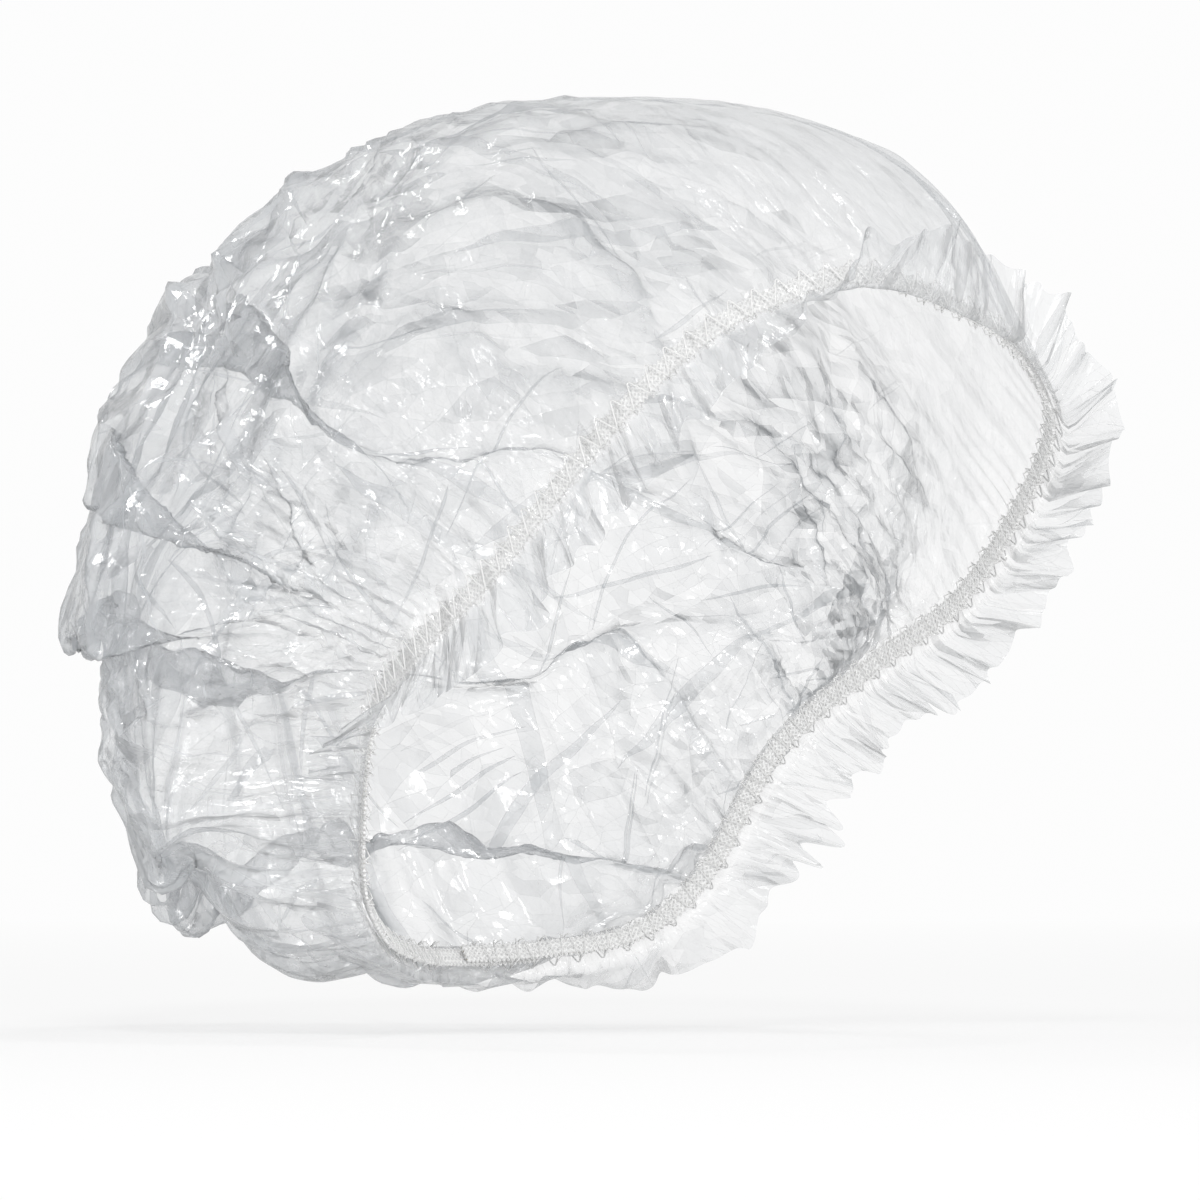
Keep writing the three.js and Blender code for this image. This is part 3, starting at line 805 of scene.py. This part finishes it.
def film_material(settings):
    """Clear film, seen most where it turns away, is folded or gathered, or has a crease; its grey and its
    darker outline are painted shade.
    """
    nodes = FilmNodes(bpy.data.materials.new("clear film"), settings.disc * MAP_MARGIN / MM)
    gather, folded, loose = (nodes.mark(name) for name in ("gather", "folded", "loose"))
    ribbon = total(nodes.streaks(*shape, RIBBON_LEAST) for shape in RIBBONS)
    crease = total(nodes.streaks(*shape, CREASE_LEAST) for shape in CREASES)
    heights, painted_shades = zip(*(nodes.facet(*shape) for shape in FACETS))
    height = total(heights) + ribbon * 0.3 + crease * 0.12
    height = height * (loose * 0.85 + 0.15) + nodes.noise(3.0, 3.0) * 0.08
    bump = nodes.bump(1.0, 0.0024, height)
    facing = nodes.add("ShaderNodeLayerWeight", {}, {"Blend": 0.35, "Normal": bump}, "Facing")
    alpha = nodes.noise(60.0, 4.0) * 0.14 + 0.03 + facing * 0.62 + gather * 0.1 + folded * 0.16
    # Painted shade: each facet is made a little more or less see-through, as if it caught the light its own
    # way.
    alpha = alpha + (total(painted_shades) + crease * 0.28 + ribbon * 0.2 + 0.1) * loose
    alpha = alpha * (1.0 - gather ** 8.0 * 0.45) * (loose * 0.42 + 0.62)
    alpha = nodes.math("MAXIMUM", nodes.math("MINIMUM", alpha, 0.93), 0.02)
    # Painted shade: the film's colour is drawn darker where it turns away from the camera, for the dark edges
    # of its folds and outline.
    tone = nodes.blend(facing, opaque(settings.haze_and_shade_tint), opaque(settings.haze_and_shade_tint, 0.72))
    # Near the seam the film is drawn whiter: partly the milkier gathered film, partly painted light that
    # lifts the band over the shaded elastic.
    tone = nodes.blend(gather * 0.7, tone, opaque((0.95, 0.95, 0.95)))
    nodes.set("Principled BSDF", Base_Color=tone, Roughness=0.14, IOR=2.2, Specular_IOR_Level=0.7)
    nodes.set("Principled BSDF", Alpha=alpha, Normal=bump)
    return nodes.owner


def yarn_material(name, colour):
    """Braided yarn: two sets of slanting bands that cross, with painted shade in the grooves between them."""
    nodes = Nodes(bpy.data.materials.new(name))
    place = nodes.add("ShaderNodeTexCoord", {}, [], "UV")
    bands = []
    for slope in (1 / MM, -1 / MM):
        scaled = nodes.add("ShaderNodeMapping", {}, {"Vector": place, "Scale": (1 / MM, slope, 1.0)})
        values = {"Vector": scaled, "Scale": 0.45, "Distortion": 0.8, "Detail": 2.0}
        bands.append(nodes.add("ShaderNodeTexWave", {"bands_direction": "DIAGONAL"}, values, "Fac"))
    fibre = nodes.add("ShaderNodeTexNoise", {}, {"Vector": scaled, "Scale": 5.0, "Detail": 5.0}, "Fac")
    weave = nodes.math("MAXIMUM", *bands)
    bump = nodes.bump(0.8, 0.0004, weave * 0.8 + fibre * 0.4)
    # Painted shade: the white yarn is drawn darker where the weave is low, in the grooves between the bands.
    tone = nodes.blend(nodes.ramp(weave, ((0.3, 0.0), (0.8, 1.0))), opaque(colour, 0.84), opaque(colour))
    nodes.set("Principled BSDF", Base_Color=tone, Roughness=0.78, Sheen_Weight=0.3, Normal=bump)
    return nodes.owner


def grained_material(name, colour):
    """Rubber or thread with a fine grain."""
    nodes = Nodes(bpy.data.materials.new(name))
    place = nodes.add("ShaderNodeTexCoord", {}, [], "Object")
    grain = nodes.add("ShaderNodeTexNoise", {}, {"Vector": place, "Scale": 900.0, "Detail": 3.0}, "Fac")
    tone = nodes.blend(grain, opaque(colour, 0.85), opaque(colour))
    nodes.set("Principled BSDF", Base_Color=tone, Roughness=0.55, Normal=nodes.bump(0.2, 0.0001, grain))
    return nodes.owner


def tube(rings):
    """Points and faces of a tube through rings of points, closed by a face at each end."""
    count, size = rings.shape[:2]
    numbers = np.arange(count * size).reshape(count, size)
    faces = []
    for a, b in zip(numbers, numbers[1:]):
        faces += np.stack([a, b, np.roll(b, -1), np.roll(a, -1)], 1).tolist()
    faces.append(numbers[0].tolist())
    faces.append(numbers[-1][::-1].tolist())
    return rings.reshape(-1, 3), faces


class Elastic:
    """The elastic, which laps over itself at the back."""

    def __init__(self, settings, step):
        self.width = settings.width / MM
        self.thickness = settings.thickness / MM
        self.lengths = np.arange(0, RIM_LENGTH + LAP, step)
        self.point, self.along, self.out, self.crown = rim_frame(turns_at(self.lengths))
        self.lift = lap_lift(self.lengths, self.thickness + CLEARANCE)

    def rings(self, section):
        """Points of a section that is given as crownward and outward."""
        crownward, outward = section[..., 0, None], section[..., 1, None] + self.lift[:, None, None]
        return self.point[:, None] + self.crown[:, None] * crownward + self.out[:, None] * outward


def build_elastic(settings):
    """Flat braid with ribs along it and fine loops at both edges."""
    tooth = settings.tooth / MM
    elastic = Elastic(settings, tooth / 5)
    half, thick = elastic.width / 2, elastic.thickness
    phase = elastic.lengths / tooth
    reach = half - LOOP_FEET + LOOP_DEPTH * np.abs(np.sin(math.pi * phase))
    top = np.linspace(-1, 1, ELASTIC_POINTS)
    section = []
    for face, shares in ((-1, top), (1, top[::-1])):
        for share in shares:
            edge = 1 - abs(share) ** 6
            rib = RIB_HEIGHT * np.cos(2 * TAU * share)
            twist = TWIST_HEIGHT * np.cos(TAU * (phase + 1.6 * abs(share)))
            swell = (thick / 2 - 0.12) * (0.55 + 0.45 * edge) + (rib + twist) * edge
            section.append(np.stack([share * reach, thick / 2 + face * swell], 1))
    points, faces = tube(elastic.rings(np.stack(section, 1)))
    across = (np.concatenate([top, top[::-1]]) + 1) * (half - LOOP_MIDDLE) * MM + 0.1
    along = np.repeat(elastic.lengths * MM, len(across))
    maps = np.stack([along, np.tile(across, len(elastic.lengths))], 1)
    return mesh_object("elastic", points, faces, maps)


def build_strands(settings):
    """Rubber strands side by side in the braid."""
    elastic = Elastic(settings, STRAND_STEP)
    angle = TAU * np.arange(STRAND_SIDES) / STRAND_SIDES
    radius = settings.strand / MM / 2
    strands = []
    for item in range(STRANDS):
        across = (item - (STRANDS - 1) / 2) * settings.strand_pitch / MM + radius * np.cos(angle)
        outward = elastic.thickness / 2 + radius * np.sin(angle)
        section = np.broadcast_to(np.stack([across, outward], 1), (len(elastic.lengths), STRAND_SIDES, 2))
        points, faces = tube(elastic.rings(section))
        strands.append(mesh_object(f"strand_{item + 1}", points, faces))
    return strands


class Seam:
    """Zigzag threads with corners at both edges of the elastic in turn."""

    def __init__(self, settings, elastic):
        self.half, self.lift = elastic.width / MM / 2, elastic.thickness / MM + CLEARANCE
        self.thread, self.pitch = settings.thread / MM, settings.pitch / MM

    def needle(self, length, side):
        """Corner on the film: each place along, across and out, and 1 where it climbs the lap."""
        above = self.lift + FILM_WALL + self.thread / 2
        corner = (length, side * (self.half + STITCH_PAST), above - 0.2, 1)
        beside, step = (side * (self.half + 0.35), above + 0.1, 1), self.pitch * 0.06
        return (length - step, *beside), corner, (length + step, *beside)

    def looper(self, length, side):
        """Corner under the elastic, which rises beside it to the needle thread's."""
        under, locked = -(CLEARANCE + self.thread / 2), self.lift - CLEARANCE - self.thread / 2
        edge, past = side * (self.half + CLEARANCE + self.thread / 2), side * (self.half + STITCH_PAST)
        rise, halfway = self.pitch * 0.17, (under + locked) / 2
        return (
            (length - rise, edge, under, 0),
            (length - rise / 2, past, halfway, 0),
            (length, past, locked, 1),
            (length + rise / 2, past, halfway, 0),
            (length + rise, edge, under, 0),
        )

    def path(self, corner):
        """Points of the thread that has such corners."""
        spots = []
        for item in range(int((RIM_LENGTH - SEAM_GAP) / (self.pitch / 2))):
            spots.extend(corner(SEAM_GAP / 2 + item * self.pitch / 2, 1 - 2 * (item % 2)))
        spots = np.array(spots)
        point, along, out, crown = rim_frame(turns_at(spots[:, 0]))
        climb = film_lift(spots[:, 0], self.lift) * spots[:, 3]
        return point + crown * spots[:, 1:2] + out * (spots[:, 2] + climb)[:, None]


def build_thread(name, path, across):
    """A round thread along its path."""
    curve = bpy.data.curves.new(name, "CURVE")
    curve.dimensions = "3D"
    spline = curve.splines.new("POLY")
    spline.points.add(len(path) - 1)
    spline.points.foreach_set("co", np.c_[path * MM, np.ones(len(path))].ravel())
    curve.bevel_depth = across / 2
    curve.bevel_resolution = 1
    curve.use_fill_caps = True
    obj = bpy.data.objects.new(name, curve)
    bpy.context.collection.objects.link(obj)
    bpy.ops.object.select_all(action="DESELECT")
    obj.select_set(True)
    bpy.context.view_layer.objects.active = obj
    bpy.ops.object.convert(target="MESH")
    bpy.ops.object.shade_smooth()
    return bpy.context.view_layer.objects.active


def dress(obj, material, node):
    """Give a piece its material and its place in the part."""
    obj.data.materials.clear()
    obj.data.materials.append(material)
    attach(obj, "root")
    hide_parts(node)


class CAP_OT_film(bpy.types.Operator):
    """Make the gathered film sheet"""

    bl_idname = "cap.film"
    bl_label = "Make film"

    def execute(self, context):
        settings, elastic = context.scene.cap_film, context.scene.cap_elastic
        film = build_film(settings, elastic)
        dress(film, film_material(settings), "film_sheet")
        return {"FINISHED"}


class CAP_OT_elastic(bpy.types.Operator):
    """Make the braided elastic"""

    bl_idname = "cap.elastic"
    bl_label = "Make elastic"

    def execute(self, context):
        settings = context.scene.cap_elastic
        dress(build_elastic(settings), yarn_material("white yarn", settings.yarn), "elastic_braid")
        return {"FINISHED"}


class CAP_OT_strands(bpy.types.Operator):
    """Make the rubber strands inside the elastic"""

    bl_idname = "cap.strands"
    bl_label = "Make rubber strands"

    def execute(self, context):
        settings = context.scene.cap_elastic
        material = grained_material("natural rubber", settings.rubber)
        for item, obj in enumerate(build_strands(settings)):
            dress(obj, material, f"rubber_core_{item + 1}")
        return {"FINISHED"}


class CAP_OT_seam(bpy.types.Operator):
    """Make the two threads of the zigzag seam"""

    bl_idname = "cap.seam"
    bl_label = "Make seam threads"

    def execute(self, context):
        settings, elastic = context.scene.cap_seam, context.scene.cap_elastic
        material = grained_material("sewing thread", settings.colour)
        seam = Seam(settings, elastic)
        for name, corner in (("needle", seam.needle), ("looper", seam.looper)):
            thread = build_thread(name, seam.path(corner), settings.thread)
            dress(thread, material, f"{name}_thread")
        return {"FINISHED"}


class CAP_OT_stage(bpy.types.Operator):
    """Make the floor, lamps and camera"""

    bl_idname = "cap.stage"
    bl_label = "Make stage"

    def execute(self, context):
        settings = context.scene.cap_stage
        self.floor(settings)
        self.lamps(settings)
        self.camera(context, settings)
        self.world(context, settings)
        return {"FINISHED"}

    def seen(self, nodes):
        """1 for what the camera sees, straight, mirrored or through glass, and 0 for other light."""
        path = nodes.add("ShaderNodeLightPath", {}, [], "Is Camera Ray")
        larger = nodes.math("MAXIMUM", path, path.out("Is Glossy Ray"))
        return nodes.math("MAXIMUM", larger, path.out("Is Transmission Ray"))

    def floor(self, settings):
        """Pale floor that keeps the shadow and goes over into the background."""
        bpy.ops.object.select_all(action="DESELECT")
        bpy.ops.mesh.primitive_circle_add(
            vertices=96, radius=FLOOR_RADIUS, fill_type="NGON", location=(0, 0, FLOOR_HEIGHT),
        )
        floor = bpy.context.object
        floor.name = "floor"
        nodes = Nodes(bpy.data.materials.new("pale floor"))
        nodes.set("Principled BSDF", Base_Color=opaque(settings.floor), Roughness=0.9)
        own = Socket(nodes, nodes.tree.nodes["Principled BSDF"].outputs[0])
        place = nodes.add("ShaderNodeTexCoord", {}, [], "Object")
        away = nodes.add("ShaderNodeVectorMath", {"operation": "LENGTH"}, [place], "Value")
        far = nodes.ramp(away * 0.5, ((0.1, 0.0), (0.75, 1.0)))
        near_glow = nodes.add("ShaderNodeEmission", {}, {"Strength": 1.0}, "Emission")
        far_glow = nodes.add("ShaderNodeEmission", {}, {"Strength": settings.paleness}, "Emission")
        glow = nodes.add("ShaderNodeMixShader", {}, [far, near_glow, far_glow])
        amount = self.seen(nodes) * (far * (1 - FLOOR_GLOW) + FLOOR_GLOW)
        nodes.set("Material Output", Surface=nodes.add("ShaderNodeMixShader", {}, [amount, own, glow]))
        floor.data.materials.append(nodes.owner)

    def lamps(self, settings):
        """Soft square lamps round the cap."""
        for name, place, size, share in LAMPS:
            lamp = bpy.data.lights.new(name, "AREA")
            lamp.size = size
            lamp.energy = settings.key * share
            obj = bpy.data.objects.new(name, lamp)
            obj.location = place
            obj.rotation_euler = (Vector(LAMP_TARGET) - Vector(place)).to_track_quat("-Z", "Y").to_euler()
            bpy.context.collection.objects.link(obj)

    def camera(self, context, settings):
        """Camera at the photograph's angle."""
        camera = bpy.data.cameras.new("camera")
        camera.sensor_width = SENSOR_WIDTH
        camera.lens = SENSOR_WIDTH * settings.distance / FRAME_WIDTH
        camera.clip_end = 50
        obj = bpy.data.objects.new("camera", camera)
        target = Vector(CAMERA_TARGET)
        obj.location = target - Vector((math.sin(CAMERA_TURN), math.cos(CAMERA_TURN), 0)) * settings.distance
        obj.rotation_euler = (target - obj.location).to_track_quat("-Z", "Y").to_euler()
        context.collection.objects.link(obj)
        context.scene.camera = obj

    def world(self, context, settings):
        """Light from all round, and a white background where it is seen."""
        nodes = Nodes(bpy.data.worlds.new("studio"))
        strength = self.seen(nodes) * (settings.paleness - AMBIENT) + AMBIENT
        nodes.set("Background", Color=(1, 1, 1, 1), Strength=strength)
        context.scene.world = nodes.owner


class CAP_PT_panel(bpy.types.Panel):
    """Sizes, colours and steps of the cap"""

    bl_idname = "CAP_PT_panel"
    bl_label = "Shower cap"
    bl_space_type = "VIEW_3D"
    bl_region_type = "UI"
    bl_category = "Cap"

    def draw(self, context):
        for group in SETTINGS:
            settings = getattr(context.scene, group)
            for name in settings.__annotations__:
                self.layout.prop(settings, name)
        for step in STEPS:
            self.layout.operator(step.bl_idname)


SETTINGS = {
    "cap_film": FilmSettings,
    "cap_elastic": ElasticSettings,
    "cap_seam": SeamSettings,
    "cap_stage": StageSettings,
}
STEPS = (CAP_OT_film, CAP_OT_elastic, CAP_OT_strands, CAP_OT_seam, CAP_OT_stage)


def register():
    for group in (*SETTINGS.values(), *STEPS, CAP_PT_panel):
        bpy.utils.register_class(group)
    for name, group in SETTINGS.items():
        setattr(bpy.types.Scene, name, PointerProperty(type=group))


def unregister():
    for name in SETTINGS:
        delattr(bpy.types.Scene, name)
    for group in (CAP_PT_panel, *reversed(STEPS), *SETTINGS.values()):
        bpy.utils.unregister_class(group)


def main():
    register()
    bpy.context.scene.view_settings.view_transform = "Standard"
    for step in STEPS:
        getattr(bpy.ops.cap, step.bl_idname.split(".")[1])()


if __name__ == "__main__":
    main()
